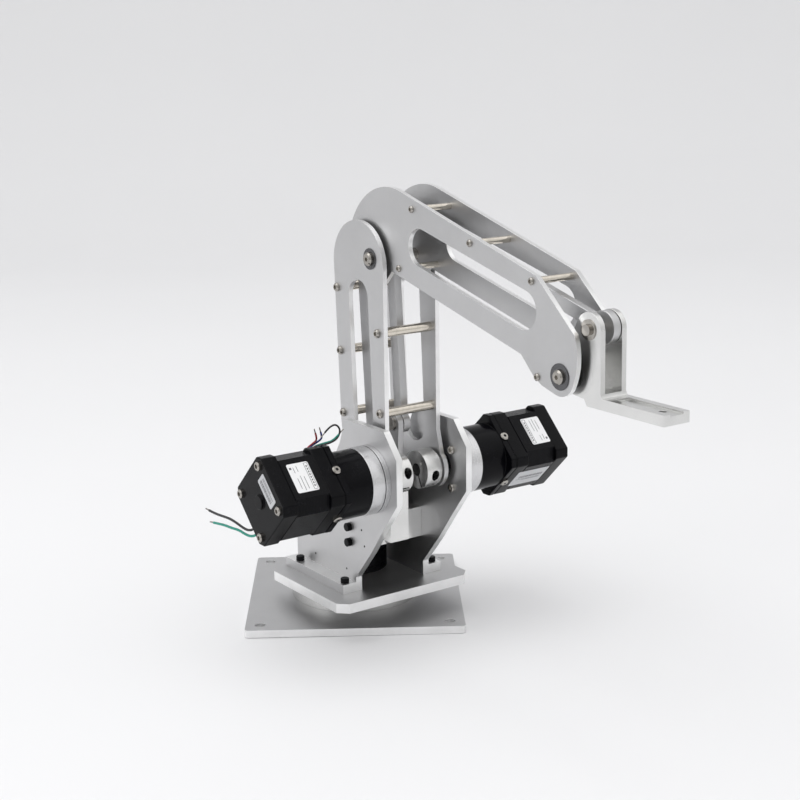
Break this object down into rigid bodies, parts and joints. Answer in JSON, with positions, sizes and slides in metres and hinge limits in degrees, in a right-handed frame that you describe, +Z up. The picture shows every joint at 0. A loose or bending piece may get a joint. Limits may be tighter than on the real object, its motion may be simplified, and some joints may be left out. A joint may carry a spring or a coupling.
{
  "type": "scara robot arm",
  "caption": "Desktop aluminium robot arm on a square turntable base: parallel-link upper arm and forearm driven by geared square motors, with a level tool bracket.",
  "frame": {"origin": "bottom centre of the base plate, on the waist axis", "axes": "+Z up along the waist axis; X and Y along the base plate's sides; the turret is stored turned by -56.4 degrees, so the arm points that way"},
  "size_m": [0.2619, 0.3205, 0.2815],
  "materials": {
    "satin_aluminium": "bead-blasted, clear anodised",
    "machined_aluminium": "machined bright",
    "gearbox_silver": "turned, satin",
    "gearbox_black": "satin black",
    "motor_black": "satin black",
    "stator_black": "gloss black over steel sheets",
    "black_steel": "black oxide",
    "bright_steel": "bright",
    "nickel": "nickel plated",
    "bearing_steel": "ground",
    "lead_black": "soft sheen",
    "lead_green": "soft sheen"
  },
  "bodies": {
    "base": {"base_plate": "satin_aluminium", "turntable_lower_ring": "machined_aluminium", "turntable_balls": "bearing_steel", "turntable_screws": "black_steel", "waist_shaft": "bright_steel"},
    "turret": {"rotating_plate": "satin_aluminium", "turntable_upper_ring": "machined_aluminium", "right_upright": "satin_aluminium", "left_upright": "satin_aluminium", "frame_screws": "black_steel", "tie_bar": "machined_aluminium", "level_anchor": "satin_aluminium", "level_pivot_pin": "bright_steel", "stop_block": "machined_aluminium", "gearbox_screws": "bright_steel", "motor_screws": "bright_steel", "elbow_drive_front": "gearbox_silver", "elbow_drive_gearbox": "gearbox_black", "elbow_drive_front_cap": "motor_black", "elbow_drive_stator": "stator_black", "elbow_drive_rear_cap": "motor_black", "shoulder_drive_front": "gearbox_silver", "shoulder_drive_gearbox": "gearbox_black", "shoulder_drive_front_cap": "motor_black", "shoulder_drive_stator": "stator_black", "shoulder_drive_rear_cap": "motor_black", "waist_drive_front": "gearbox_black", "waist_drive_gearbox": "gearbox_black", "waist_drive_motor": "motor_black", "elbow_motor_lead_black": "lead_black", "elbow_motor_lead_green": "lead_green"},
    "crank": {"crank_hub": "machined_aluminium", "crank_clamp_screw": "black_steel", "elbow_drive_shaft": "bright_steel"},
    "crank_pivot": {"crank_pin": "bright_steel"},
    "drive_link": {"drive_link": "satin_aluminium"},
    "upper_arm": {"right_arm_plate": "satin_aluminium", "left_arm_plate": "satin_aluminium", "arm_spacers": "nickel", "arm_screws": "bright_steel", "arm_bearings": "bearing_steel", "arm_hub": "machined_aluminium", "arm_clamp_screw": "black_steel", "shoulder_drive_shaft": "bright_steel"},
    "elbow_triangle": {"elbow_triangle": "satin_aluminium", "triangle_pins": "bright_steel"},
    "rear_link": {"rear_level_link": "satin_aluminium"},
    "forearm_link": {"forearm_level_link": "satin_aluminium"},
    "forearm": {"right_forearm_plate": "satin_aluminium", "left_forearm_plate": "satin_aluminium", "forearm_spacers": "nickel", "forearm_screws": "bright_steel", "elbow_shaft": "bright_steel", "elbow_screws": "bright_steel", "lobe_pin": "bright_steel", "wrist_bearings": "bearing_steel"},
    "tool": {"tool_bracket": "machined_aluminium", "wrist_shaft": "bright_steel", "wrist_screws": "bright_steel", "bracket_pin": "bright_steel"}
  },
  "joints": [
    {"name": "waist", "type": "hinge", "parent": "base", "child": "turret", "pos_m": [0, 0, 0.0086], "axis": [0, 0, 1], "range_deg": [-120, 120]},
    {"name": "shoulder", "type": "hinge", "parent": "turret", "child": "upper_arm", "pos_m": [0.03586, -0.05397, 0.10294], "axis": [0.8329, 0.5534, 0], "range_deg": [-2, 38]},
    {"name": "elbow_drive", "type": "hinge", "parent": "turret", "child": "crank", "pos_m": [0.03586, -0.05397, 0.10294], "axis": [0.8329, 0.5534, 0], "range_deg": [-24, 20]},
    {"name": "crank_pin_turn", "type": "hinge", "parent": "crank", "child": "crank_pivot", "pos_m": [0.02258, -0.03398, 0.10994], "axis": [0.8329, 0.5534, 0], "range_deg": [-20, 24]},
    {"name": "drive_link_turn", "type": "hinge", "parent": "crank_pivot", "child": "drive_link", "pos_m": [0.02258, -0.03398, 0.10994], "axis": [0.8329, 0.5534, 0], "range_deg": [-2, 38]},
    {"name": "triangle_turn", "type": "hinge", "parent": "upper_arm", "child": "elbow_triangle", "pos_m": [0.03085, -0.04643, 0.2377], "axis": [0.8329, 0.5534, 0], "range_deg": [-38, 2]},
    {"name": "elbow", "type": "hinge", "parent": "elbow_triangle", "child": "forearm", "pos_m": [0.03085, -0.04643, 0.2377], "axis": [0.8329, 0.5534, 0], "range_deg": [-24, 20]},
    {"name": "forearm_link_turn", "type": "hinge", "parent": "elbow_triangle", "child": "forearm_link", "pos_m": [0.03899, -0.05868, 0.2643], "axis": [0.8329, 0.5534, 0], "range_deg": [-24, 20]},
    {"name": "wrist", "type": "hinge", "parent": "forearm", "child": "tool", "pos_m": [0.12418, -0.18691, 0.1932], "axis": [0.8329, 0.5534, 0], "range_deg": [-20, 24]},
    {"name": "rear_link_turn", "type": "hinge", "parent": "turret", "child": "rear_link", "pos_m": [0.02922, -0.04398, 0.13194], "axis": [0.8329, 0.5534, 0], "range_deg": [-2, 38]}
  ],
  "couplings": [
    {"joint": "crank_pin_turn", "follows": "elbow_drive", "ratio": -1},
    {"joint": "drive_link_turn", "follows": "shoulder", "ratio": 1},
    {"joint": "triangle_turn", "follows": "shoulder", "ratio": -1},
    {"joint": "elbow", "follows": "elbow_drive", "ratio": 1},
    {"joint": "forearm_link_turn", "follows": "elbow_drive", "ratio": 1},
    {"joint": "wrist", "follows": "elbow_drive", "ratio": -1},
    {"joint": "rear_link_turn", "follows": "shoulder", "ratio": 1}
  ]
}
